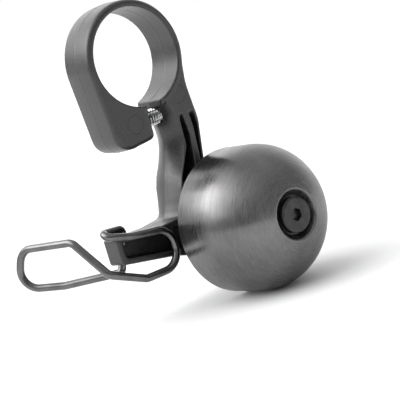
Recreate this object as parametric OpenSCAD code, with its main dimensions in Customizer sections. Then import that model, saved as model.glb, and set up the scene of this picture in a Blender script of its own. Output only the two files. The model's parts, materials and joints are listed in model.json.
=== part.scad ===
// Mini bicycle bell: a one-piece moulded clamp bracket, a brushed metal dome screwed to
// a hub post, and a striker bent from one length of spring wire.
// Millimetres. The origin is the centre of the handlebar bore. +X runs along the bar
// towards the crown of the dome, and +Z is up.

/* [Handlebar clamp] */
// Diameter of the handlebar
bar_d = 22.2; // [21.8:0.1:22.6]
// Thickness of the ring's band
ring_wall = 1.9; // [1.6:0.1:2.2]
// Width of the clamp along the bar
clamp_w = 10.3; // [10:0.1:11]
// Width of the slot that the clamp screw closes
slot_w = 3.9; // [3.2:0.1:4.2]
// Height of the clamp screw below the bore's centre
clamp_screw_drop = 14.3; // [14.1:0.1:14.5]

/* [Bell] */
// Outer radius of the dome at its rim
dome_r = 16.3; // [15.8:0.1:16.8]
// Length of the dome's straight skirt
skirt = 8; // [7.5:0.5:8.5]
// Height of the crown above the skirt
crown = 14; // [13.5:0.5:14]
// Thickness of the dome's metal
dome_wall = 1.4; // [1.2:0.1:1.5]
// Gap between the bracket's front face and the dome's rim
rim_gap = 5.5; // [5.3:0.1:6]
// Sideways distance from the bore to the bell's axis
bell_y = 9.5; // [9.4:0.1:9.6]
// Distance of the bell's axis below the bore
bell_drop = 41.3; // [41.2:0.1:41.4]

/* [Striker] */
// Diameter of the spring wire
wire_d = 1.8; // [1.6:0.1:1.9]
// Lean of the striker's hinge axis away from vertical, in degrees
hinge_lean = 21; // [20:1:22]

/* [Screws] */
// Nominal thread diameter of both screws
thread_d = 4; // [3.8:0.1:4]

/* [Hidden] */
$fn = 96;
over = 1;                                     // how far a cutter runs past what it cuts

bore_r = bar_d / 2;
ring_r = bore_r + ring_wall;
face_x = clamp_w / 2;                         // the bracket's front face; the back is at -face_x
bell_centre = [face_x + rim_gap, bell_y, -bell_drop];

// Leg, and the slot between the leg and the arm
leg_out_y = -11.45;                           // outer face at the foot
leg_in_y = -0.8;                              // face at the slot
leg_foot_z = -19.8;                           // the foot's lowest edge, at its outer face
leg_heel_z = -18.6;                           // the foot at the slot
slot_arm_y = leg_in_y + slot_w;               // the slot's other face

// Lever arm that carries the striker
lever_top_z = -36.3;                          // top of the arm's end
lever_dip_z = -37.3;                          // lowest point of its hollowed top
lever_foot_z = -42.2;                         // underside at the end
lever_end_y = -19.15;
lever_wall = 1.2;                             // over and under the arm's open channel
lever_end_wall = 1.5;
lever_floor_x = 1;                            // floor of the arm's open channel

// Hub post and the dome's seat, measured from the rim plane along the bell's axis
post_r = 4;
dish_r = 5.2;                                 // radius of the dished seat's edge
dish_floor_r = 4.5;
dish_x = 19.2;                                // outer face of the seat
lip_r = dish_r + 0.7;                         // where the crown starts to roll into the dish
dish_h = 1.4;                                 // from the seat up to the dish's edge
seat_washer_h = 1.2;
bell_washer_h = 0.5;
post_end_x = dish_x - dome_wall - seat_washer_h;
insert_r = 2.8;
insert_h = 8;
bell_shank = 13;
bell_hole_h = 4;                              // hole past the sleeve for the screw's tip
post_root = 2;                                // how far the post reaches into the bracket
fin_r = 7;                                    // reach of the post's fins at their foot
fin_wall = 1.2;
fin_tip_x = 1.5;                              // where the fins fade into the post

// Screws and nut
shank_r = thread_d / 2 - 0.05;
thread_hole_r = thread_d / 2;
clear_hole_r = thread_d / 2 + 0.15;
bell_head_r = 3.95;
bell_head_h = 1.45;
clamp_head_r = 3.3;
clamp_head_h = 2.2;
clamp_seat_y = 9.1;                           // where the clamp screw's head bears
head_play = 0.05;                             // under that head, so that the screw turns freely
clamp_tip_y = -9.4;
clamp_hole_y = [-10, 14];                     // from past the screw's tip to outside the arm
seat_play = 0.2;                              // round the clamp screw's head
head_chamfer = 0.4;
bell_socket_floor = 0.3;                      // metal left under the bell screw's socket
clamp_socket_h = 1.4;
nut_y = [-8, -4.8];
nut_flats = 7;
nut_play = 0.1;                               // round the nut in its slot
socket_flats = 2.5;                           // hexagon key that fits both screws

// Striker wire
wire_r = wire_d / 2;
pin_r = wire_r - 0.05;                        // the two ends that turn in the lever arm
pin_hole_r = wire_r;
pin_hole_h = 14;                              // the two holes are drilled in one line
bend_step = 15;                               // degrees between the rings of a bend
wire_sides = 12;
// Middle of the hinge axis, from the bell's centre
hinge_mid = [-8, -26.2, 2.15];

function hinge_point(z) = [hinge_mid[0], hinge_mid[1] + (z - hinge_mid[2]) * tan(hinge_lean), z];

// Corners of the wire's route from the bell's centre, each with its bend radius
wire_route = [
    [hinge_point(4.2), 0],                    // just above the upper pin
    [hinge_point(6.4), 1.2],
    [[-4.2, -37.4, 8.05], 1.3],               // tight turn past the arm's end
    [[-3.9, -25.9, 4.8], 3],
    [[-3.9, -15.4, 3.3], 4.2],
    [[-3.9, -15.2, -5.4], 4.2],               // the side that strikes the rim
    [[-3.9, -24.9, -5.2], 2],
    [[-3.9, -33.9, -1.2], 2],
    [[-10.8, -36.4, 7.3], 2.5],               // finger loop
    [[-26.2, -40.4, 7.4], 4.2],
    [[-28.6, -42.3, -1.3], 4],
    [[-19.8, -36.0, -2.7], 5],
    [hinge_point(-2.6), 1.2],
    [hinge_point(-0.4), 0],                   // just below the lower pin
];

function unit(v) = v / norm(v);

// Points of the bend at b between a and c; one point when the radius is zero
function bend(a, b, c, r) =
    let(u = unit(a - b), v = unit(c - b), open = acos(u * v))
    r == 0 ? [b] :
    let(
        centre = b + unit(u + v) * r / sin(open / 2),
        first = unit(b + u * r / tan(open / 2) - centre),
        last = unit(b + v * r / tan(open / 2) - centre),
        side = unit(last - first * (first * last)),
        turn = 180 - open,
        steps = max(2, ceil(turn / bend_step))
    )
    [for (i = [0:steps]) centre + r * (first * cos(turn * i / steps) + side * sin(turn * i / steps))];

// A route's corners [point, radius] as a smooth run of points
function smooth_run(route) = [
    for (i = [0:len(route) - 1])
        let(last = len(route) - 1)
        each (i == 0 || i == last) ? [route[i][0]] :
            bend(route[i - 1][0], route[i][0], route[i + 1][0], route[i][1])
];

// A closed outline of corners [y, z, radius] with each corner rounded
function rounded(corners) =
    let(n = len(corners), flat = [for (c = corners) [c[0], c[1]]])
    [for (i = [0:n - 1]) each bend(flat[(i + n - 1) % n], flat[i], flat[(i + 1) % n], corners[i][2])];

function direction(points, i) =
    let(last = len(points) - 1) unit(points[min(i + 1, last)] - points[max(i - 1, 0)]);

// Joins rings of points, all the same length and counter-clockwise about their line of travel,
// into one closed solid
module skin(rings) {
    n = len(rings[0]);
    last = len(rings) - 1;
    polyhedron(
        points = [for (ring = rings) each ring],
        faces = concat(
            [[for (i = [0:n - 1]) i]],
            [for (k = [0:last - 1], i = [0:n - 1])
                each let(a = k * n + i, b = k * n + (i + 1) % n) [[a, b + n, b], [a, a + n, b + n]]],
            [[for (i = [n - 1:-1:0]) last * n + i]]
        )
    );
}

// Round wire along a run of points, its rings kept from twisting
module sweep(points, r, sides) {
    last = len(points) - 1;
    normals = [
        for (
            i = 0, n = unit(cross(direction(points, 0), [1, 0, 0]));
            i <= last;
            i = i + 1, n = i > last ? n : unit(n - direction(points, i) * (n * direction(points, i)))
        ) n
    ];
    skin([
        for (i = [0:last])
            let(n = normals[i], s = cross(direction(points, i), n))
            [for (k = [0:sides - 1]) points[i] + r * (n * cos(360 * k / sides) + s * sin(360 * k / sides))]
    ]);
}

// Extrudes an outline of [y, z] points along X
module slab(outline, from, to)
    translate([from, 0, 0]) rotate([90, 0, 90]) linear_extrude(to - from) polygon(outline);

module along_x(from, to, r)
    translate([from, 0, 0]) rotate([0, 90, 0]) cylinder(r = r, h = to - from);

module along_y(from, to, r)
    translate([0, from, 0]) rotate([-90, 0, 0]) cylinder(r = r, h = to - from);

module at_bell() translate(bell_centre) children();
module at_clamp_screw() translate([0, 0, -clamp_screw_drop]) children();

// Hexagonal recess or prism along +Z, given across its flats
module hexagon(flats, h) cylinder(r = flats / sqrt(3), h = h, $fn = 6);

// ---- Clamp body ----

module leg()
    slab(rounded([
        [-ring_r, 0, 0], [leg_out_y, leg_foot_z, 4.2], [leg_in_y, leg_heel_z, 1.6],
        [leg_in_y, -bore_r + 1, 0], [-bore_r + 2, 0, 0],
    ]), -face_x, face_x);

// Upright arm, web round the hub and lever arm: one side view between the two faces, cut to
// its plan, in which the lever arm narrows towards its end from behind
module arm()
    intersection() {
        slab(rounded([
            [ring_r - 0.3, 0, 0], [11.3, -9, 12], [11.9, -17.5, 9], [9.6, -29, 6], [15.6, -36, 4],
            [15.6, -45.6, 5], [5, -48, 5], [-5.6, -44.8, 8], [lever_end_y, lever_foot_z, 0.8],
            [lever_end_y, lever_top_z, 0.5], [-7, lever_dip_z, 15], [0.7, lever_dip_z + 0.3, 3],
            [1.5, -30.5, 3], [6.4, -24, 7],
            [6.2, -16, 6], [slot_arm_y + 0.6, -bore_r - 0.6, 0], [slot_arm_y, -bore_r + 1.5, 0],
            [bore_r - 1, 0, 0],
        ]), -face_x, face_x);
        translate([0, 0, -60]) linear_extrude(80) polygon([
            [face_x + over, 30], [-face_x - over, 30], [-face_x - over, 4], [-face_x, 1.5],
            [-0.2, lever_end_y - over], [face_x + over, lever_end_y - over],
        ]);
    }

// Flank of the arm, which rises from its face edges to a soft ridge midway between the faces.
// Each row is [height, face edge, ridge] in Z, Y, Y.
flank_rows = [
    [-10.2, 3.7, 3.15], [-12.0, 4.5, 3.2], [-16.0, 6.0, 3.5], [-20.5, 6.2, 3.8],
    [-25.0, 4.6, 2.7], [-29.0, 2.3, 1.1], [-32.5, 1.2, -0.1], [-35.0, 0.6, -1.0],
    [-36.4, 0.2, -1.7], [-37.6, -0.4, -2.8],
];
flank_power = 1.6;                            // 1 would be a straight slope, 2 a parabola
flank_root = 0.3;                             // how far the flank reaches into the arm

function flank_y(row, across) =
    let(edge = row[1] + flank_root) row[2] + (edge - row[2]) * pow(abs(across), flank_power);

module arm_flank() {
    half = face_x - 0.2;
    steps = 10;
    skin([
        for (row = flank_rows)
            concat(
                [for (i = [0:steps])
                    let(across = 1 - 2 * i / steps) [half * across, flank_y(row, across), row[0]]],
                [[-half, row[1] + 1.4, row[0]], [half, row[1] + 1.4, row[0]]]
            )
    ]);
}

module hub_post() at_bell() along_x(-rim_gap - post_root, post_end_x, post_r);

// Four fins that stiffen the foot of the hub post
module hub_fins()
    at_bell() for (turn = [45:90:315]) rotate([turn, 0, 0])
        translate([0, fin_wall / 2, 0]) rotate([90, 0, 0]) linear_extrude(fin_wall)
            polygon([
                [-rim_gap - over, 0], [-rim_gap - over, fin_r], [-rim_gap, fin_r],
                [fin_tip_x, post_r - 0.3], [fin_tip_x, 0],
            ]);

// Recess moulded into the front face. Its floor and its sloping upper end are cut by the
// profile [x, z], and its sides by the outline.
module front_pocket(outline)
    intersection() {
        slab(outline, -2, face_x + over);
        rotate([90, 0, 0]) translate([0, 0, -20]) linear_extrude(40)
            polygon([
                [face_x + over, -14.6], [face_x, -15.5], [0.2, -20], [-1.5, -26], [-1.5, -46],
                [face_x + over, -46],
            ]);
    }

module arm_pockets() {
    front_pocket(rounded([
        [6.6, -15, 0.2], [7.4, -15, 0.2], [7.9, -20, 3], [7.1, -27, 4], [4.6, -34.5, 0.8],
        [2.2, -34.5, 0.8], [2.4, -29.5, 3], [6.3, -22.5, 4],
    ]));
    front_pocket(rounded([
        [9.4, -15, 0.3], [10.6, -15, 0.3], [10.9, -18.5, 3], [8.9, -29.5, 3], [8.4, -33.5, 0.3],
        [7.3, -33.5, 0.3], [8.9, -27, 4], [9.6, -19, 4],
    ]));
}

// Channel in the lever arm, open at the front
module lever_channel()
    slab(rounded([
        [-1.5, lever_dip_z - lever_wall, 1], [-7, lever_dip_z - lever_wall, 15],
        [lever_end_y + lever_end_wall, lever_top_z - lever_wall, 0.5],
        [lever_end_y + lever_end_wall, lever_foot_z + lever_wall, 1], [-1.5, -45.4 + lever_wall, 1],
    ]), lever_floor_x, face_x + over);

module pivot_holes()
    at_bell() translate(hinge_mid) rotate([-hinge_lean, 0, 0])
        cylinder(r = pin_hole_r, h = pin_hole_h, center = true);

// From under the foot up into the bore
module clamp_slot()
    translate([-face_x - over, leg_in_y, leg_foot_z - over])
        cube([clamp_w + 2 * over, slot_w, over - leg_foot_z - bore_r / 2]);

// The nut slides up into its slot from under the leg
module nut_slot()
    translate([-nut_flats / sqrt(3) - nut_play, nut_y[0] - nut_play, leg_foot_z - over])
        cube([
            2 * nut_flats / sqrt(3) + 2 * nut_play, nut_y[1] - nut_y[0] + 2 * nut_play,
            nut_flats / 2 - clamp_screw_drop - leg_foot_z + over,
        ]);

module clamp_body()
    color("#2a2b2d")
    difference() {
        union() {
            along_x(-face_x, face_x, ring_r);
            leg();
            arm();
            arm_flank();
            hub_post();
            hub_fins();
        }
        along_x(-face_x - over, face_x + over, bore_r);
        clamp_slot();
        at_clamp_screw() along_y(clamp_hole_y[0], clamp_hole_y[1], clear_hole_r);
        at_clamp_screw() along_y(clamp_seat_y, clamp_hole_y[1], clamp_head_r + seat_play);
        nut_slot();
        arm_pockets();
        lever_channel();
        pivot_holes();
        at_bell() along_x(post_end_x - insert_h, post_end_x + over, insert_r);
        at_bell() along_x(post_end_x - insert_h - bell_hole_h, post_end_x, clear_hole_r);
    }

// ---- Bell ----

// Quarter ellipse of the crown from the skirt in to the radius `inner`
function crown_arc(r, h, inner, steps = 24) =
    let(end = acos(inner / r))
    [for (i = [0:steps]) [r * cos(end * i / steps), skirt + h * sin(end * i / steps)]];

function backwards(points) = [for (i = [len(points) - 1:-1:0]) points[i]];

module bell_dome() {
    in_r = dome_r - dome_wall;
    seat_back = dish_x - dome_wall;
    seat_back_r = dish_floor_r + 1.1;
    inner_lip_r = lip_r + 0.4;
    outside = crown_arc(dome_r, crown, lip_r);
    inside = crown_arc(in_r, crown - dome_wall, inner_lip_r);
    color("#5c5c60")
    at_bell() rotate([0, 90, 0]) rotate_extrude() polygon(concat(
        [[dome_r, 0]], outside,
        [[dish_r, dish_x + dish_h], [dish_floor_r, dish_x], [clear_hole_r, dish_x],
         [clear_hole_r, seat_back], [seat_back_r, seat_back]],
        backwards(inside), [[in_r, 0]]
    ));
}

// Low round head with a chamfered edge and a hexagon socket, at the crown
module bell_screw() {
    bearing = dish_x + bell_washer_h;
    face = bearing + bell_head_h;
    color("#1d1d1f")
    at_bell() rotate([0, 90, 0]) difference() {
        rotate_extrude() polygon([
            [0, bearing - bell_shank], [shank_r, bearing - bell_shank], [shank_r, bearing],
            [bell_head_r, bearing], [bell_head_r, face - head_chamfer],
            [bell_head_r - head_chamfer, face], [0, face],
        ]);
        translate([0, 0, bearing + bell_socket_floor]) hexagon(socket_flats, bell_head_h);
    }
}

module ring_disc(from, h, r, hole)
    at_bell() difference() {
        along_x(from, from + h, r);
        along_x(from - over, from + h + over, hole);
    }

module bell_washer() color("#3a3a3c") ring_disc(dish_x, bell_washer_h, bell_head_r + 0.25, clear_hole_r);

module seat_washer() color("#151515") ring_disc(post_end_x, seat_washer_h, post_r, clear_hole_r);

// Threaded sleeve moulded into the end of the hub post
module hub_insert() color("#b08d4f") ring_disc(post_end_x - insert_h, insert_h, insert_r, thread_hole_r);

// ---- Clamp screw and nut ----

module clamp_screw() {
    face_y = clamp_seat_y + clamp_head_h;
    color("#c9ccd0")
    at_clamp_screw() difference() {
        union() {
            along_y(clamp_tip_y, clamp_seat_y + over, shank_r);
            along_y(clamp_seat_y + head_play, face_y, clamp_head_r);
        }
        translate([0, face_y - clamp_socket_h, 0]) rotate([-90, 0, 0])
            hexagon(socket_flats, clamp_socket_h + over);
    }
}

module clamp_nut()
    color("#b9bcc0")
    at_clamp_screw() difference() {
        translate([0, nut_y[0], 0]) rotate([-90, 0, 0]) hexagon(nut_flats, nut_y[1] - nut_y[0]);
        along_y(nut_y[0] - over, nut_y[1] + over, thread_hole_r);
    }

// ---- Striker ----

module hinge_pin(from, to)
    translate(hinge_point(from)) rotate([-hinge_lean, 0, 0])
        cylinder(r = pin_r, h = (to - from) / cos(hinge_lean));

module striker_wire()
    color("#2f3033")
    at_bell() {
        sweep(smooth_run(wire_route), wire_r, wire_sides);
        hinge_pin(3.0, 6.2);
        hinge_pin(-2.0, 1.0);
    }

clamp_body();
bell_dome();
bell_screw();
bell_washer();
seat_washer();
hub_insert();
clamp_screw();
clamp_nut();
striker_wire();
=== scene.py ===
"""Looks of the mini bicycle bell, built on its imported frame.

Modelling functions work in millimetres in the row frame (origin at the centre of the handlebar
bore, +X along the bar towards the crown, +Z up), and new_piece() turns them into metres.
"""
import functools
import json
import math

import bmesh
import bpy
import numpy as np
import openvdb
from mathutils import Matrix, Vector


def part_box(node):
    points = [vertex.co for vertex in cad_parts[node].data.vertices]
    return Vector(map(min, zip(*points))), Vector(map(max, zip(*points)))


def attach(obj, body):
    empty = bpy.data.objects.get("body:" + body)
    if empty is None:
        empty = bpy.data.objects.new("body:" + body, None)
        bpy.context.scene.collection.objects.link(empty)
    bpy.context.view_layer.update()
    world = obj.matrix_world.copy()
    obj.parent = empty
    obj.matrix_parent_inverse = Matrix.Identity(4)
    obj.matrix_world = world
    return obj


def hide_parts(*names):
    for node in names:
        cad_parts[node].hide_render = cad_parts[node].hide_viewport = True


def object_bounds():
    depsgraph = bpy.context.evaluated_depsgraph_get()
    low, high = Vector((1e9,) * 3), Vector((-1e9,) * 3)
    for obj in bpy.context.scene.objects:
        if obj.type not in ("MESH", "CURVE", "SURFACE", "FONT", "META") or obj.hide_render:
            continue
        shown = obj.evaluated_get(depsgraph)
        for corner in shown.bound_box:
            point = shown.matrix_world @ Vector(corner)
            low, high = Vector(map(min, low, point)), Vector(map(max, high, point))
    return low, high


MM = 0.001
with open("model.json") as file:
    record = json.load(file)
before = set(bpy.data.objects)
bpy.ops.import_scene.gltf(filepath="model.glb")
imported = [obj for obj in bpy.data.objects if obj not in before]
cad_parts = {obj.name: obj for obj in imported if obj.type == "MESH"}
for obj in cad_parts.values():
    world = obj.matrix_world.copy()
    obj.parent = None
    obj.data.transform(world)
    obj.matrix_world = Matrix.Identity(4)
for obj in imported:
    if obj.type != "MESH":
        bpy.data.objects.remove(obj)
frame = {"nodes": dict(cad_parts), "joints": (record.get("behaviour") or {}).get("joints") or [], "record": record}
cad_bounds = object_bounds()

# ---- Sizes, in millimetres, from the frame ----

MOUNT = frame["record"]["mounts"][0]["dims"]
BORE_R = MOUNT["r_mm"]
HALF_W = MOUNT["length_mm"] / 2


def node_box(name):
    low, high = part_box(name)
    return Vector(low) / MM, Vector(high) / MM


BODY_LOW, BODY_HIGH = node_box("clamp_body")
DOME_LOW, DOME_HIGH = node_box("bell_dome")
POST_END = BODY_HIGH.x
RING_R = BODY_HIGH.z
DOME_R = (DOME_HIGH.y - DOME_LOW.y) / 2
BELL = Vector((DOME_LOW.x, (DOME_LOW.y + DOME_HIGH.y) / 2, (DOME_LOW.z + DOME_HIGH.z) / 2))
SLOT_Y = (-0.8, 3.1)                          # the two faces of the slot between leg and arm
LEG_FOOT = -19.8                              # lowest edge of the leg, at its outer face
LEG_HEEL = -18.6                              # the same at the slot
LEVER_TOP = -36.3                             # top of the lever arm's end
LEVER_DIP = -37.3                             # lowest point of its hollowed top
LEVER_FOOT = -42.2                            # its underside at the end
LEVER_END = -19.15
LEVER_WALL = 1.2
LEVER_END_WALL = 1.5
POST_R = 4.0
FIN_HALF, FIN_REACH, FIN_TAPER = 0.6, 7.0, 0.45
INSERT_HOLE_R, INSERT_HOLE_H = 2.85, 8.0      # pocket for the threaded sleeve
SCREW_Z = -14.3                               # height of the clamp screw
SCREW_R, THREAD_PITCH = 2.0, 0.7
CLEAR_R = 2.15                                # holes that the screws pass through
HEAD_SEAT_R, HEAD_SEAT_Y = 3.5, 9.1           # pocket for the clamp screw's head
NUT_Y, NUT_SLOT_HALF_Y, NUT_SLOT_HALF_X = -6.4, 1.7, 4.15
PIN_HOLE_R = 0.95
WIRE_R, WIRE_PIN_R = 0.9, 0.85
ROUND = 96                                    # points round a screw or a nut
HINGE = next(j for j in frame["joints"] if j["name"] == "striker_hinge")
HINGE_POINT = Vector(HINGE["pos_m"]) / MM
HINGE_AXIS = Vector(HINGE["axis"])

# ---- Outlines ----


def bend(a, b, c, radius, step=8):
    """Points of the round corner at b on the way from a to c."""
    a, b, c = (np.array(p, float) for p in (a, b, c))
    if radius == 0:
        return [b]
    u = (a - b) / np.linalg.norm(a - b)
    v = (c - b) / np.linalg.norm(c - b)
    opening = math.acos(np.clip(u @ v, -1, 1))
    middle = (u + v) / np.linalg.norm(u + v)
    centre = b + middle * radius / math.sin(opening / 2)
    first = b + u * radius / math.tan(opening / 2) - centre
    last = b + v * radius / math.tan(opening / 2) - centre
    turn = math.pi - opening
    side = last - first * math.cos(turn)
    side *= radius / np.linalg.norm(side)
    steps = max(2, math.ceil(math.degrees(turn) / step))
    angles = (turn * i / steps for i in range(steps + 1))
    return [centre + first * math.cos(t) + side * math.sin(t) for t in angles]


def rounded(corners):
    """A closed outline from corners (y, z, radius)."""
    flat = [corner[:2] for corner in corners]
    points = []
    for i, corner in enumerate(corners):
        points += bend(flat[i - 1], flat[i], flat[(i + 1) % len(flat)], corner[2])
    return points


def smooth_run(corners):
    """An open run of points from corners (point, radius)."""
    points = [np.array(corners[0][0], float)]
    for before, corner, after in zip(corners, corners[1:], corners[2:]):
        points += bend(before[0], corner[0], after[0], corner[1])
    return points + [np.array(corners[-1][0], float)]


# ---- Solids as distance fields ----


def outline_distance(a, b, points):
    """Signed distance from an outline, negative inside, over coordinates a and b."""
    nearest = np.full(np.broadcast(a, b).shape, np.inf)
    inside = np.zeros(nearest.shape, bool)
    for (a0, b0), (a1, b1) in zip(points, points[1:] + points[:1]):
        da, db = a1 - a0, b1 - b0
        if da * da + db * db < 1e-12:
            continue
        along = np.clip(((a - a0) * da + (b - b0) * db) / (da * da + db * db), 0, 1)
        nearest = np.minimum(nearest, (a - a0 - along * da) ** 2 + (b - b0 - along * db) ** 2)
        if db:
            crosses = ((b0 > b) != (b1 > b)) & (a < a0 + da * (b - b0) / db)
            inside ^= crosses
    return np.where(inside, -1, 1) * np.sqrt(nearest)


def join(a, b, blend):
    """Union of two fields with a fillet."""
    h = np.maximum(blend - np.abs(a - b), 0) / blend
    return np.minimum(a, b) - h * h * blend / 4


def cut(a, b, blend):
    """Field a with b taken out, the new edge rounded."""
    return -join(-a, b, blend)


def prism(flat, across, radius):
    """A flat field given thickness, with its edges rounded."""
    f, g = flat + radius, across + radius
    return np.minimum(np.maximum(f, g), 0) + np.hypot(np.maximum(f, 0), np.maximum(g, 0)) - radius


def smooth_rows(at, places, values):
    """A smooth curve through values at rising places (cubic, with finite-difference slopes)."""
    slopes = np.gradient(values, places)
    at = np.clip(at, places[0], places[-1])
    i = np.clip(np.searchsorted(places, at) - 1, 0, len(places) - 2)
    gap = places[i + 1] - places[i]
    t = (at - places[i]) / gap
    rise, fall = t * t * (3 - 2 * t), t * (1 - t)
    bulge = fall * ((1 - t) * slopes[i] - t * slopes[i + 1]) * gap
    return values[i] * (1 - rise) + values[i + 1] * rise + bulge


def overlap(*fields):
    """What several fields have in common."""
    return functools.reduce(np.maximum, fields)


# ---- The moulded bracket's fields ----


def band_field(x, y, z):
    """Ring and leg: a crowned band with round edges, open at the slot."""
    ring = np.hypot(y, z) - RING_R
    leg = outline_distance(y, z, rounded([
        (-RING_R + 0.04, -1, 0), (-11.45, LEG_FOOT, 4.2), (SLOT_Y[0], LEG_HEEL, 1.6),
        (SLOT_Y[0], -10, 0), (-9, 0, 0),
    ]))
    slot_middle, slot_half = sum(SLOT_Y) / 2, (SLOT_Y[1] - SLOT_Y[0]) / 2
    slot = overlap(np.abs(y - slot_middle) - slot_half, z + 4, -24 - z)
    crown = 0.25 * (x / HALF_W) ** 2
    return prism(cut(np.minimum(ring, leg) + crown, slot, 0.5), np.abs(x) - HALF_W, 1.0)


def arm_field(x, y, z):
    """Upright arm, web round the hub and lever arm in one outline, its edges sharper low down."""
    arm = outline_distance(y, z, rounded([
        (RING_R - 0.3, 0, 0), (11.3, -9, 12), (11.9, -17.5, 9), (9.6, -29, 6), (15.6, -36, 4),
        (15.6, -45.6, 5), (5, -48, 5), (-5.6, -44.8, 8), (LEVER_END, LEVER_FOOT, 0.8),
        (LEVER_END, LEVER_TOP, 0.5), (-7, LEVER_DIP, 15), (0.7, LEVER_DIP + 0.3, 3),
        (1.5, -30.5, 3), (6.4, -24, 7), (6.2, -16, 6), (3.7, -11.7, 0), (SLOT_Y[1], -9.6, 0), (10, 0, 0),
    ]))
    edge_radius = np.interp(z, (-32, -14), (0.45, 0.95))
    return prism(arm, np.abs(x) - HALF_W, edge_radius)


def flank_field(x, y, z):
    """The arm's flank, which rises from its face edges to a soft ridge midway along the bar."""
    # Height, face edge and ridge
    rows = np.array([
        (-37.6, -0.4, -2.8), (-36.4, 0.2, -1.7), (-35.0, 0.6, -1.0), (-32.5, 1.2, -0.1),
        (-29.0, 2.3, 1.1), (-25.0, 4.5, 2.7), (-20.5, 6.1, 3.8), (-16.0, 5.9, 3.5),
        (-12.0, 4.6, 3.2), (-9.6, 3.3, 3.0),
    ])
    edge = smooth_rows(z, rows[:, 0], rows[:, 1])
    ridge = smooth_rows(z, rows[:, 0], rows[:, 2])
    surface = ridge + (edge - ridge) * np.minimum(np.abs(x) / HALF_W, 1) ** 1.6
    return overlap((surface - y) * 0.75, y - edge - 2, z + 9.6, -37.6 - z, np.abs(x) - HALF_W)


def fin_fields(x, y, z, from_axis):
    """Four fins that stiffen the foot of the hub post, as two crossed pairs."""
    reach = FIN_REACH - FIN_TAPER * (x - HALF_W)
    for turn in (math.radians(45), math.radians(135)):
        across = np.abs((y - BELL.y) * math.sin(turn) - (z - BELL.z) * math.cos(turn))
        yield overlap(across - FIN_HALF, from_axis - reach, 2 - x)


def pocket_fields(x, y, z):
    """Two pockets in the arm's front face, with sloping upper ends."""
    profile = outline_distance(x, z, [
        (7, -14), (HALF_W, -15.5), (0.2, -20), (-1.5, -26), (-1.5, -46), (7, -46),
    ])
    for outline in (
        [(6.6, -15, 0.2), (7.4, -15, 0.2), (7.9, -20, 3), (7.1, -27, 4), (4.6, -34.5, 0.8),
         (2.2, -34.5, 0.8), (2.4, -29.5, 3), (6.3, -22.5, 4)],
        [(9.4, -15, 0.3), (10.6, -15, 0.3), (10.9, -18.5, 3), (8.9, -29.5, 3), (8.4, -33.5, 0.3),
         (7.3, -33.5, 0.3), (8.9, -27, 4), (9.6, -19, 4)],
    ):
        yield np.maximum(outline_distance(y, z, rounded(outline)), profile)


def channel_field(x, y, z):
    """Channel in the lever arm, open at the front."""
    channel = outline_distance(y, z, rounded([
        (-1.5, LEVER_DIP - LEVER_WALL, 1), (-7, LEVER_DIP - LEVER_WALL, 15),
        (LEVER_END + LEVER_END_WALL, LEVER_TOP - LEVER_WALL, 0.5),
        (LEVER_END + LEVER_END_WALL, LEVER_FOOT + LEVER_WALL, 1), (-1.5, -45.4 + LEVER_WALL, 1),
    ]))
    return np.maximum(channel, 1 - x)


def hole_fields(x, y, z, from_axis):
    """Clamp screw's hole and head pocket, nut slot, pivot holes, and the hub's two bores."""
    from_screw = np.hypot(x, z - SCREW_Z)
    yield overlap(from_screw - CLEAR_R, -10 - y, y - 14)
    yield overlap(from_screw - HEAD_SEAT_R, HEAD_SEAT_Y - y, y - 14)
    yield overlap(
        np.abs(x) - NUT_SLOT_HALF_X, np.abs(y - NUT_Y) - NUT_SLOT_HALF_Y,
        z - SCREW_Z - 3.5, LEG_FOOT - 1 - z,
    )
    off_axis = (y - HINGE_POINT.y) * HINGE_AXIS.z - (z - HINGE_POINT.z) * HINGE_AXIS.y
    from_pin = np.hypot(x - HINGE_POINT.x, off_axis)
    yield np.maximum(from_pin - PIN_HOLE_R, np.abs(z - HINGE_POINT.z) - 6.5)
    insert_pocket = np.maximum(from_axis - INSERT_HOLE_R, POST_END - INSERT_HOLE_H - x)
    screw_bore = np.maximum(from_axis - CLEAR_R, POST_END - INSERT_HOLE_H - 4 - x)
    yield np.minimum(insert_pocket, screw_bore)


def moulding_field(x, y, z):
    """Distance field of the one-piece clamp, arm, lever arm and hub post."""
    from_axis = np.hypot(y - BELL.y, z - BELL.z)
    body = join(band_field(x, y, z), arm_field(x, y, z), 0.25)
    body = join(body, flank_field(x, y, z), 0.3)
    # Behind, the lever arm narrows towards its end
    taper = -0.974 * (x + HALF_W) - 0.226 * (y - 1.5)
    body = cut(body, -np.minimum(taper, -29 - z), 0.6)
    body = join(body, overlap(from_axis - POST_R, 2 - x, x - POST_END), 1.0)
    for fin in fin_fields(x, y, z, from_axis):
        body = join(body, fin, 0.5)
    for pocket in pocket_fields(x, y, z):
        body = cut(body, pocket, 0.3)
    body = cut(body, channel_field(x, y, z), 0.4)
    body = cut(body, np.hypot(y, z) - BORE_R, 0.35)
    for hole in hole_fields(x, y, z, from_axis):
        body = cut(body, hole, 0.12)
    return body


# ---- Meshes ----


def new_piece(name, body, material, replaces, verts, faces, smooth_deg=35):
    """A mesh piece, given in millimetres, that rides on a body and stands for CAD nodes."""
    mesh = bpy.data.meshes.new(name)
    mesh.from_pydata([tuple(np.array(v) * MM) for v in verts], [], faces)
    mesh.update()
    bm = bmesh.new()
    bm.from_mesh(mesh)
    bmesh.ops.recalc_face_normals(bm, faces=bm.faces)
    bm.to_mesh(mesh)
    bm.free()
    mesh.polygons.foreach_set("use_smooth", [True] * len(mesh.polygons))
    mesh.set_sharp_from_angle(angle=math.radians(smooth_deg))
    piece = bpy.data.objects.new(name, mesh)
    bpy.context.scene.collection.objects.link(piece)
    mesh.materials.append(material)
    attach(piece, body)
    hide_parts(*replaces)
    return piece


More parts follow.
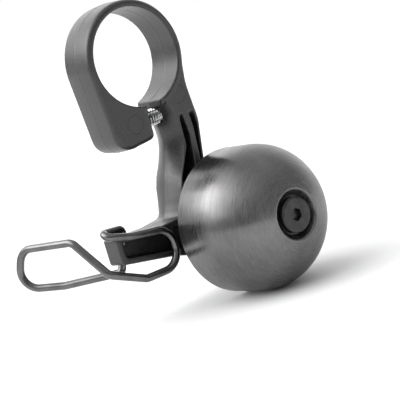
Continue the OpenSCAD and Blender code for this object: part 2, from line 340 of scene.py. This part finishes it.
def skin(rings, closed_ends=True):
    """Faces that join equal rings of points into a tube, and the flat list of its points."""
    n = len(rings[0])
    verts = [p for ring in rings for p in ring]
    faces = []
    for k in range(len(rings) - 1):
        for i in range(n):
            a, b = k * n + i, k * n + (i + 1) % n
            faces.append((a, b, b + n, a + n))
    if closed_ends:
        faces.append(tuple(range(n - 1, -1, -1)))
        faces.append(tuple(range(len(verts) - n, len(verts))))
    return verts, faces


def sweep(points, radii, sides):
    """A round tube along a run of points, its rings kept from twisting."""
    rings = []
    normal = None
    for i, point in enumerate(points):
        ahead = points[min(i + 1, len(points) - 1)] - points[max(i - 1, 0)]
        ahead = ahead / np.linalg.norm(ahead)
        start = np.array((1.0, 0, 0)) if normal is None else normal
        normal = start - ahead * (start @ ahead)
        normal /= np.linalg.norm(normal)
        across = np.cross(ahead, normal)
        turns = [2 * math.pi * k / sides for k in range(sides)]
        rings.append([point + radii[i] * (normal * math.cos(t) + across * math.sin(t)) for t in turns])
    return skin(rings)


def lathe(profile, centre, sides):
    """A closed profile of (x, radius) turned round the line along X through centre."""
    rings = []
    for k in range(sides):
        t = 2 * math.pi * k / sides
        rings.append([
            (centre.x + x, centre.y + r * math.cos(t), centre.z + r * math.sin(t)) for x, r in profile
        ])
    n = len(profile)
    verts = [p for ring in rings for p in ring]
    faces = []
    for k in range(sides):
        for i in range(n):
            a, b = k * n + i, k * n + (i + 1) % n
            c, d = ((k + 1) % sides) * n + (i + 1) % n, ((k + 1) % sides) * n + i
            faces.append((a, b, c, d))
    return verts, faces


def circle_marks(verts, faces, centres, radius):
    """Adds the faint raised rings that ejector pins leave on the front face."""
    for y, z in centres:
        ring = [
            np.array((HALF_W - 0.02, y + radius * math.cos(t), z + radius * math.sin(t)))
            for t in np.linspace(0, 2 * math.pi, 65)
        ]
        new_verts, new_faces = sweep(ring, [0.07] * len(ring), 8)
        faces += [tuple(i + len(verts) for i in face) for face in new_faces]
        verts += [tuple(v) for v in new_verts]


def make_moulding():
    """The plastic bracket, meshed from its distance field."""
    pitch = 0.2
    margin = 3 * pitch
    low = np.array(BODY_LOW) - margin
    high = np.array(BODY_HIGH) + margin
    # A layer of cells is centred on the parting plane, x = 0
    low[0] = -(math.ceil(-low[0] / pitch) + 0.5) * pitch
    x, y, z = (np.arange(low[i], high[i], pitch) for i in range(3))
    field = moulding_field(x[:, None, None], y[None, :, None], z[None, None, :]).astype(np.float32)
    grid = openvdb.FloatGrid(background=3 * pitch)
    grid.copyFromArray(np.clip(field + 0.02, -3 * pitch, 3 * pitch))
    points, quads = grid.convertToQuads(isovalue=0.0)
    points = points * pitch + low

    # The mould's parting line stands a little proud
    line = np.abs(points[:, 0]) < 0.3 * pitch
    px, py, pz = points[line].T
    step = 0.05
    slope_y = moulding_field(px, py + step, pz) - moulding_field(px, py - step, pz)
    slope_z = moulding_field(px, py, pz + step) - moulding_field(px, py, pz - step)
    size = np.maximum(np.hypot(slope_y, slope_z), step)
    points[line] += 0.07 * np.column_stack((0 * px, slope_y / size, slope_z / size))

    verts = [tuple(p) for p in points]
    faces = [tuple(int(i) for i in q)[::-1] for q in quads]
    circle_marks(verts, faces, [(-5.4, -14.2), (8.0, -10.9)], 2.1)
    return new_piece(
        "bracket_moulding", "bracket", moulded_plastic(), ["clamp_body"],
        verts, faces, smooth_deg=60,
    )


def make_dome():
    """The dome: straight skirt, elliptical crown and a dished seat for the screw."""
    skirt, crown, wall = 8.0, 14.0, 1.4
    dish_x, dish_r, floor_r = 19.2, 5.2, 4.5
    sides = 256

    def crown_arc(r, h, inner, steps):
        angles = [math.acos(inner / r) * i / steps for i in range(steps + 1)]
        return [(skirt + h * math.sin(angle), r * math.cos(angle)) for angle in angles]

    rim = [(0.0, DOME_R - 0.35), (0.08, DOME_R - 0.12), (0.3, DOME_R - 0.01)]
    lip = [
        (dish_x + 1.88, dish_r + 0.52), (dish_x + 1.84, dish_r + 0.36), (dish_x + 1.72, dish_r + 0.2),
        (dish_x + 1.5, dish_r + 0.05), (dish_x + 1.2, dish_r - 0.06), (dish_x + 0.45, floor_r + 0.14),
        (dish_x + 0.1, floor_r - 0.05), (dish_x, floor_r - 0.3),
    ]
    floor = [
        (dish_x, CLEAR_R), (dish_x - wall, CLEAR_R), (dish_x - wall, floor_r + 0.8),
        (dish_x - 0.9, floor_r + 1.2),
    ]
    inner_arc = crown_arc(DOME_R - wall, crown - wall, dish_r + 1.1, 40)[::-1]
    profile = rim + crown_arc(DOME_R, crown, dish_r + 0.7, 64) + lip + floor + inner_arc
    profile += [(0.3, DOME_R - wall + 0.01), (0.0, DOME_R - wall + 0.15)]
    profile.reverse()
    verts, faces = lathe(profile, BELL, sides)
    piece = new_piece(
        "dome", "bracket", brushed_dome(), ["bell_dome"], verts, faces, smooth_deg=50,
    )
    # Distance along the profile, which the brushing follows
    steps = np.diff(np.array(profile), axis=0)
    run = np.concatenate([[0], np.cumsum(np.hypot(steps[:, 0], steps[:, 1]))])
    attribute = piece.data.attributes.new("profile_run", "FLOAT", "POINT")
    attribute.data.foreach_set("value", np.tile(run, sides).astype(np.float32))
    return piece


def hinge_at(z):
    """The point of the hinge axis at height z from the bell's axis."""
    lean = HINGE_AXIS / HINGE_AXIS.z
    return HINGE_POINT - BELL + lean * (z - (HINGE_POINT.z - BELL.z))


def make_wire():
    """One length of spring wire from the upper pivot round the striker and the finger loop."""
    corners = [
        (hinge_at(3.0), 0), (hinge_at(6.4), 1.2), ((-4.2, -37.4, 8.05), 1.3), ((-3.9, -25.9, 4.8), 3),
        ((-3.9, -15.4, 3.3), 4.2), ((-3.9, -15.2, -5.4), 4.2), ((-3.9, -24.9, -5.2), 2),
        ((-3.9, -33.9, -1.2), 2), ((-10.8, -36.4, 7.3), 2.5), ((-26.2, -40.4, 7.4), 4.2),
        ((-28.6, -42.3, -1.3), 4), ((-19.8, -36.0, -2.7), 5), (hinge_at(-2.6), 1.2),
        (hinge_at(1.0), 0),
    ]
    points = [np.array(BELL) + p for p in smooth_run(corners)]
    radii = [WIRE_R] * len(points)
    radii[0] = radii[-1] = WIRE_PIN_R
    verts, faces = sweep(points, radii, 28)
    return new_piece(
        "spring_wire", "striker", plated_wire(), ["striker_wire"], verts, faces, smooth_deg=60,
    )


def hexagon(apothem, turn):
    """Distance from the centre to the side of a hexagon in the direction turn."""
    return apothem / math.cos((turn + math.pi / 6) % (math.pi / 3) - math.pi / 6)


def along_axis(rings, origin, axis, side):
    """Places rings of (distance along, turn, radius) on an axis."""
    other = axis.cross(side)
    placed = []
    for ring in rings:
        placed.append([
            np.array(origin + axis * along + (side * math.cos(turn) + other * math.sin(turn)) * radius)
            for along, turn, radius in ring
        ])
    return placed


def thread_rings(top, tip, turns):
    """Rings of a screw thread, from the plain neck at top down to a chamfered tip."""
    pitch = THREAD_PITCH
    depth = 0.54 * pitch
    chamfer = 0.45
    rings = []
    for along in np.arange(top, tip, -pitch / 10):
        fade = min(1, (top - along) / pitch, (along - tip) / pitch + 0.2)
        tapered = SCREW_R - chamfer * (1 - min(1, (along - tip) / pitch + 0.4))
        ring = []
        for t in turns:
            wave = abs(((along / pitch - t / (2 * math.pi)) % 1) * 2 - 1)
            ring.append((along, t, tapered - depth * (1 - wave) * fade))
        rings.append(ring)
    return rings


def make_screw(name, node, body, material, axis, side, head_r, head_h, socket, socket_depth):
    """A socket head screw that fills the box of its CAD node, its head towards +axis."""
    low, high = node_box(node)
    centre = (low + high) / 2
    length = abs((high - low).dot(axis))
    origin = centre + axis * (length / 2)
    turns = [2 * math.pi * k / ROUND for k in range(ROUND)]
    flat = socket / 2
    # From the bottom of the socket, out over the face, down the head and along the thread
    rings = [[(-socket_depth, t, hexagon(flat, t)) for t in turns]]
    rings += [[(-0.12, t, hexagon(flat, t)) for t in turns]]
    rings += [[(0, t, hexagon(flat, t) + 0.12) for t in turns]]
    for along, radius in (
        (0, head_r * 0.82), (0, head_r - 0.3), (-0.04, head_r - 0.2), (-0.22, head_r - 0.04),
        (-0.32, head_r), (-head_h + 0.1, head_r), (-head_h, head_r - 0.1), (-head_h, SCREW_R + 0.05),
    ):
        rings.append([(along, t, radius) for t in turns])
    rings += thread_rings(-head_h - 0.1, -length, turns)
    verts, faces = skin(along_axis(rings, origin, axis, side))
    return new_piece(name, body, material, [node], verts, faces, smooth_deg=32)


def make_nut():
    """A plain hex nut with chamfered corners, lying across the clamp screw."""
    low, high = node_box("clamp_nut")
    centre = (low + high) / 2
    height = high.y - low.y
    flat = (high.x - low.x) / 2
    turns = [2 * math.pi * k / ROUND for k in range(ROUND)]
    bore = 1.75
    rings = []
    for along, widest in (
        (0, flat * 0.97), (0.25, flat * 1.06), (0.6, flat * 1.2),
        (height - 0.6, flat * 1.2), (height - 0.25, flat * 1.06), (height, flat * 0.97),
    ):
        rings.append([(along, t, min(hexagon(flat, t), widest)) for t in turns])
    for along, radius in ((height, bore + 0.4), (height - 0.4, bore), (0.4, bore), (0, bore + 0.4)):
        rings.append([(along, t, radius) for t in turns])
    rings.append(rings[0])
    origin = Vector((centre.x, low.y, centre.z))
    verts, faces = skin(along_axis(rings, origin, Vector((0, 1, 0)), Vector((1, 0, 0))), False)
    return new_piece(
        "nut", "bracket", zinc_plate(), ["clamp_nut"], verts, faces, smooth_deg=32,
    )


# ---- Materials ----


class Nodes:
    """A short way to build one material's nodes."""

    def __init__(self, name):
        self.material = bpy.data.materials.new(name)
        self.material.use_nodes = True
        self.tree = self.material.node_tree
        self.shader = self.tree.nodes["Principled BSDF"]

    def add(self, kind, settings=None, **inputs):
        node = self.tree.nodes.new(kind)
        for key, value in (settings or {}).items():
            setattr(node, key, value)
        for key, value in inputs.items():
            self.feed(node, key.replace("_", " "), value)
        return node

    def feed(self, node, socket, value):
        if isinstance(value, bpy.types.NodeSocket):
            self.tree.links.new(value, node.inputs[socket])
        else:
            node.inputs[socket].default_value = value

    def noise(self, scale, detail=3.0, vector=None, rough=0.5):
        node = self.add("ShaderNodeTexNoise", Scale=scale, Detail=detail, Roughness=rough)
        self.feed(node, "Vector", vector or self.place())
        return node.outputs["Fac"]

    def place(self):
        """The point in the object's own frame, in metres."""
        return self.add("ShaderNodeTexCoord").outputs["Object"]

    def spread(self, value, low, high, start=0.3, stop=0.7):
        """Maps a texture's useful stretch onto low..high."""
        node = self.add("ShaderNodeMapRange")
        self.feed(node, "Value", value)
        for socket, number in (("From Min", start), ("From Max", stop), ("To Min", low), ("To Max", high)):
            self.feed(node, socket, number)
        return node.outputs["Result"]

    def tint(self, value, dark, light):
        """A colour between dark and light by value."""
        node = self.add("ShaderNodeMix", {"data_type": "RGBA"})
        self.tree.links.new(value, node.inputs["Factor"])
        colours = [s for s in node.inputs if s.type == "RGBA"]
        colours[0].default_value = (*dark, 1)
        colours[1].default_value = (*light, 1)
        return [s for s in node.outputs if s.type == "RGBA"][0]

    def blend(self, a, b, mode="MULTIPLY"):
        node = self.add("ShaderNodeMath", {"operation": mode})
        self.feed(node, 0, a)
        self.feed(node, 1, b)
        return node.outputs[0]

    def bump(self, height, depth, strength=1.0, after=None):
        """A bump whose height runs over depth, in millimetres."""
        node = self.add("ShaderNodeBump", Strength=strength, Distance=depth * MM)
        self.tree.links.new(height, node.inputs["Height"])
        if after:
            self.tree.links.new(after, node.inputs["Normal"])
        return node.outputs["Normal"]

    def finish(self, **inputs):
        for key, value in inputs.items():
            self.feed(self.shader, key.replace("_", " "), value)
        return self.material


def moulded_plastic():
    """Black glass-filled nylon: fine spark texture, slightly uneven gloss."""
    n = Nodes("moulded_plastic")
    cloud = n.noise(160, 3)
    mottle = n.noise(2400, 2)
    grain = n.noise(9000, 2)
    shade = n.blend(n.spread(cloud, 0, 0.35), n.spread(mottle, 0, 0.65), "ADD")
    colour = n.tint(shade, (0.006, 0.0058, 0.0058), (0.027, 0.0265, 0.0265))
    rough = n.blend(n.spread(cloud, 0.3, 0.38), n.spread(mottle, -0.06, 0.07), "ADD")
    return n.finish(
        Base_Color=colour, Roughness=rough, IOR=1.5, Specular_IOR_Level=0.7,
        Normal=n.bump(mottle, 0.02, 0.6, n.bump(grain, 0.02, 0.7)),
    )


def lathe_coords(n, along_scale, around_scale):
    """Coordinates for marks that run round the dome: long round the axis, short along the profile."""
    shifted = n.add("ShaderNodeVectorMath", {"operation": "SUBTRACT"})
    n.tree.links.new(n.place(), shifted.inputs[0])
    shifted.inputs[1].default_value = BELL * MM
    flat = n.add("ShaderNodeVectorMath", {"operation": "MULTIPLY"})
    n.tree.links.new(shifted.outputs[0], flat.inputs[0])
    flat.inputs[1].default_value = (0, 1, 1)
    around = n.add("ShaderNodeVectorMath", {"operation": "NORMALIZE"})
    n.tree.links.new(flat.outputs[0], around.inputs[0])
    grown = n.add("ShaderNodeVectorMath", {"operation": "SCALE"})
    n.tree.links.new(around.outputs[0], grown.inputs[0])
    grown.inputs["Scale"].default_value = around_scale
    run = n.add("ShaderNodeAttribute", {"attribute_name": "profile_run"}).outputs["Fac"]
    line = n.add("ShaderNodeCombineXYZ", X=n.blend(run, along_scale))
    both = n.add("ShaderNodeVectorMath", {"operation": "ADD"})
    n.tree.links.new(grown.outputs[0], both.inputs[0])
    n.tree.links.new(line.outputs[0], both.inputs[1])
    return both.outputs[0]


def brushed_dome():
    """Dark nickel plate brushed round the dome."""
    n = Nodes("brushed_dome")
    fine = n.noise(1, 3, lathe_coords(n, 9, 5), 0.6)
    coarse = n.noise(1, 2, lathe_coords(n, 2.2, 2.5))
    cloud = n.noise(110, 3)
    shade = n.blend(n.spread(fine, 0, 0.55), n.spread(cloud, 0, 0.45), "ADD")
    colour = n.tint(shade, (0.1, 0.098, 0.1), (0.21, 0.207, 0.208))
    rough = n.blend(n.spread(coarse, 0.24, 0.33), n.spread(fine, -0.05, 0.07), "ADD")
    tangent = n.add("ShaderNodeTangent", {"direction_type": "RADIAL", "axis": "X"}).outputs[0]
    return n.finish(
        Base_Color=colour, Metallic=1.0, Roughness=rough, Normal=n.bump(fine, 0.006, 0.5),
        Anisotropic=0.88, Anisotropic_Rotation=0.25, Tangent=tangent,
    )


def black_oxide():
    """Black oxide on steel, worn a little brighter where the surface is rubbed."""
    n = Nodes("black_oxide")
    cloud = n.noise(500, 4)
    grain = n.noise(6000, 2)
    colour = n.tint(n.spread(cloud, 0, 1), (0.036, 0.036, 0.038), (0.062, 0.06, 0.062))
    return n.finish(
        Base_Color=colour, Metallic=0.85, Roughness=n.spread(cloud, 0.26, 0.38),
        Normal=n.bump(grain, 0.004, 0.5),
    )


def plated_wire():
    """Black plated spring wire with faint drawing marks."""
    n = Nodes("plated_wire")
    cloud = n.noise(350, 4)
    grain = n.noise(5000, 3)
    colour = n.tint(n.spread(cloud, 0, 1), (0.11, 0.108, 0.109), (0.165, 0.162, 0.164))
    return n.finish(
        Base_Color=colour, Metallic=1.0, Roughness=n.spread(cloud, 0.16, 0.24),
        Normal=n.bump(grain, 0.004, 0.5),
    )


def zinc_plate():
    """Bright zinc plate, slightly spangled."""
    n = Nodes("zinc_plate")
    cloud = n.noise(900, 4)
    grain = n.noise(5000, 2)
    colour = n.tint(n.spread(cloud, 0, 1), (0.32, 0.325, 0.33), (0.5, 0.505, 0.51))
    return n.finish(
        Base_Color=colour, Metallic=1.0, Roughness=n.spread(cloud, 0.14, 0.26),
        Normal=n.bump(grain, 0.004, 0.4),
    )


def brass():
    """Turned brass, a little tarnished."""
    n = Nodes("turned_brass")
    cloud = n.noise(700, 4)
    grain = n.noise(4000, 2)
    colour = n.tint(n.spread(cloud, 0, 1), (0.5, 0.34, 0.12), (0.72, 0.53, 0.24))
    return n.finish(
        Base_Color=colour, Metallic=1.0, Roughness=n.spread(cloud, 0.25, 0.42),
        Normal=n.bump(grain, 0.004, 0.4),
    )


def rubber():
    """Dull black rubber with a fine moulded grain."""
    n = Nodes("seat_rubber_grain")
    cloud = n.noise(400, 4)
    grain = n.noise(7000, 3)
    colour = n.tint(n.spread(cloud, 0, 1), (0.01, 0.01, 0.01), (0.022, 0.022, 0.022))
    return n.finish(
        Base_Color=colour, Roughness=n.spread(cloud, 0.65, 0.85), Normal=n.bump(grain, 0.02, 0.7),
    )


def floor_paper():
    """Matt white paper."""
    n = Nodes("floor_paper")
    grain = n.noise(900, 3)
    colour = n.tint(n.spread(grain, 0, 1), (0.8, 0.805, 0.81), (0.83, 0.83, 0.83))
    return n.finish(Base_Color=colour, Roughness=0.9, Specular_IOR_Level=0.1)


def dress_node(node, material):
    """Gives a carried-over CAD node a better material."""
    mesh = frame["nodes"][node].data
    mesh.materials.clear()
    mesh.materials.append(material)


# ---- Stage ----


def make_floor():
    """A pale floor under the bell's lowest point."""
    mesh = bpy.data.meshes.new("floor")
    bm = bmesh.new()
    bmesh.ops.create_circle(bm, cap_ends=True, segments=96, radius=6.0)
    bm.to_mesh(mesh)
    bm.free()
    mesh.materials.append(floor_paper())
    floor = bpy.data.objects.new("floor", mesh)
    floor.location.z = cad_bounds[0][2]
    bpy.context.scene.collection.objects.link(floor)


def make_softbox(name, direction, distance, size, radiance):
    """An area light seen from the bell in a direction, given by how bright its face is."""
    light = bpy.data.lights.new(name, "AREA")
    light.shape = "RECTANGLE"
    light.size, light.size_y = size
    light.energy = radiance * math.pi * size[0] * size[1]
    lamp = bpy.data.objects.new(name, light)
    bpy.context.scene.collection.objects.link(lamp)
    outwards = Vector(direction).normalized()
    lamp.location = BELL * MM + outwards * distance
    lamp.rotation_euler = (-outwards).to_track_quat("-Z", "Y").to_euler()
    lamp.visible_camera = False


def make_world():
    """White to the camera. The bell is lit by a pale room with bright patches, most at the left."""
    world = bpy.data.worlds.new("studio")
    bpy.context.scene.world = world
    world.use_nodes = True
    tree = world.node_tree
    tree.nodes.clear()

    def add(kind, **settings):
        node = tree.nodes.new(kind)
        for key, value in settings.items():
            setattr(node, key, value)
        return node

    def ramp(value, start, stop, low, high):
        node = add("ShaderNodeMapRange", interpolation_type="SMOOTHSTEP")
        tree.links.new(value, node.inputs["Value"])
        for socket, number in (("From Min", start), ("From Max", stop), ("To Min", low), ("To Max", high)):
            node.inputs[socket].default_value = number
        return node.outputs["Result"]

    def facing(direction):
        node = add("ShaderNodeVectorMath", operation="DOT_PRODUCT")
        tree.links.new(direction_in, node.inputs[0])
        node.inputs[1].default_value = Vector(direction).normalized()
        return node.outputs["Value"]

    def combine(a, b, operation):
        node = add("ShaderNodeMath", operation=operation)
        tree.links.new(a, node.inputs[0])
        tree.links.new(b, node.inputs[1])
        return node.outputs[0]

    def product(a, b):
        return combine(a, b, "MULTIPLY")

    direction_in = add("ShaderNodeTexCoord").outputs["Generated"]
    height = facing((0, 0, 1))
    # The room, paler overhead, and a bright wall behind at the left
    parts = [ramp(height, 0.5, 0.9, 0.45, 0.9), ramp(facing((-0.7, 0.7, 0.1)), 0.5, 0.95, 0, 1.2)]
    # A belt of light at the left, between two heights
    belt = product(ramp(height, 0.2, 0.42, 0, 1), ramp(height, 0.66, 0.84, 1, 0))
    parts.append(product(belt, ramp(facing((-0.75, -0.65, 0)), -0.1, 0.75, 0, 1.1)))
    # Front left: a faint glow at floor level and a bright patch high up
    parts.append(ramp(facing((-0.6, -0.8, 0)), 0.3, 0.95, 0, 0.35))
    parts.append(ramp(facing((-0.3, -0.6, 0.74)), 0.7, 0.97, 0, 2.2))
    total = parts[0]
    for part in parts[1:]:
        total = combine(total, part, "ADD")
    light = add("ShaderNodeBackground")
    light.inputs["Color"].default_value = (1, 1, 1, 1)
    tree.links.new(total, light.inputs["Strength"])
    seen = add("ShaderNodeBackground")
    seen.inputs["Color"].default_value = (1, 1, 1, 1)
    path = add("ShaderNodeLightPath")
    mix = add("ShaderNodeMixShader")
    tree.links.new(path.outputs["Is Camera Ray"], mix.inputs[0])
    tree.links.new(light.outputs[0], mix.inputs[1])
    tree.links.new(seen.outputs[0], mix.inputs[2])
    tree.links.new(mix.outputs[0], add("ShaderNodeOutputWorld").inputs["Surface"])


def make_camera():
    """A long lens at the photograph's angle, rolled to match."""
    azimuth, elevation, roll = (math.radians(a) for a in (54.03, 8.41, -16.5))
    across, rise, distance = 8.09, 4.21, 314.1
    back = Vector((
        math.sin(azimuth) * math.cos(elevation),
        -math.cos(azimuth) * math.cos(elevation),
        math.sin(elevation),
    ))
    level = Vector((math.cos(azimuth), math.sin(azimuth), 0))
    upright = back.cross(level)
    right = level * math.cos(roll) + upright * math.sin(roll)
    up = upright * math.cos(roll) - level * math.sin(roll)
    data = bpy.data.cameras.new("camera")
    data.sensor_width = 36
    data.lens = 125.28
    data.clip_start = 0.01
    data.clip_end = 50
    camera = bpy.data.objects.new("camera", data)
    bpy.context.scene.collection.objects.link(camera)
    place = (BELL - right * across + up * rise + back * distance) * MM
    turn = Matrix((right, up, back)).transposed().to_4x4()
    camera.matrix_world = Matrix.Translation(place) @ turn
    bpy.context.scene.camera = camera


def make_stage():
    make_floor()
    make_world()
    make_softbox("high_left", (-0.45, -0.6, 0.65), 1.0, (0.6, 0.6), 2.0)
    make_camera()
    bpy.context.scene.view_settings.view_transform = "Standard"


# ---- The bell ----

make_moulding()
make_dome()
make_wire()
make_screw(
    "dome_screw", "bell_screw", "bracket", black_oxide(),
    Vector((1, 0, 0)), Vector((0, 1, 0)), head_r=3.95, head_h=1.45, socket=2.5, socket_depth=1.1,
)
make_screw(
    "band_screw", "clamp_screw", "screw", zinc_plate(),
    Vector((0, 1, 0)), Vector((0, 0, 1)), head_r=3.3, head_h=2.2, socket=3.0, socket_depth=1.6,
)
make_nut()
dress_node("bell_washer", black_oxide())
dress_node("seat_washer", rubber())
dress_node("hub_insert", brass())
make_stage()
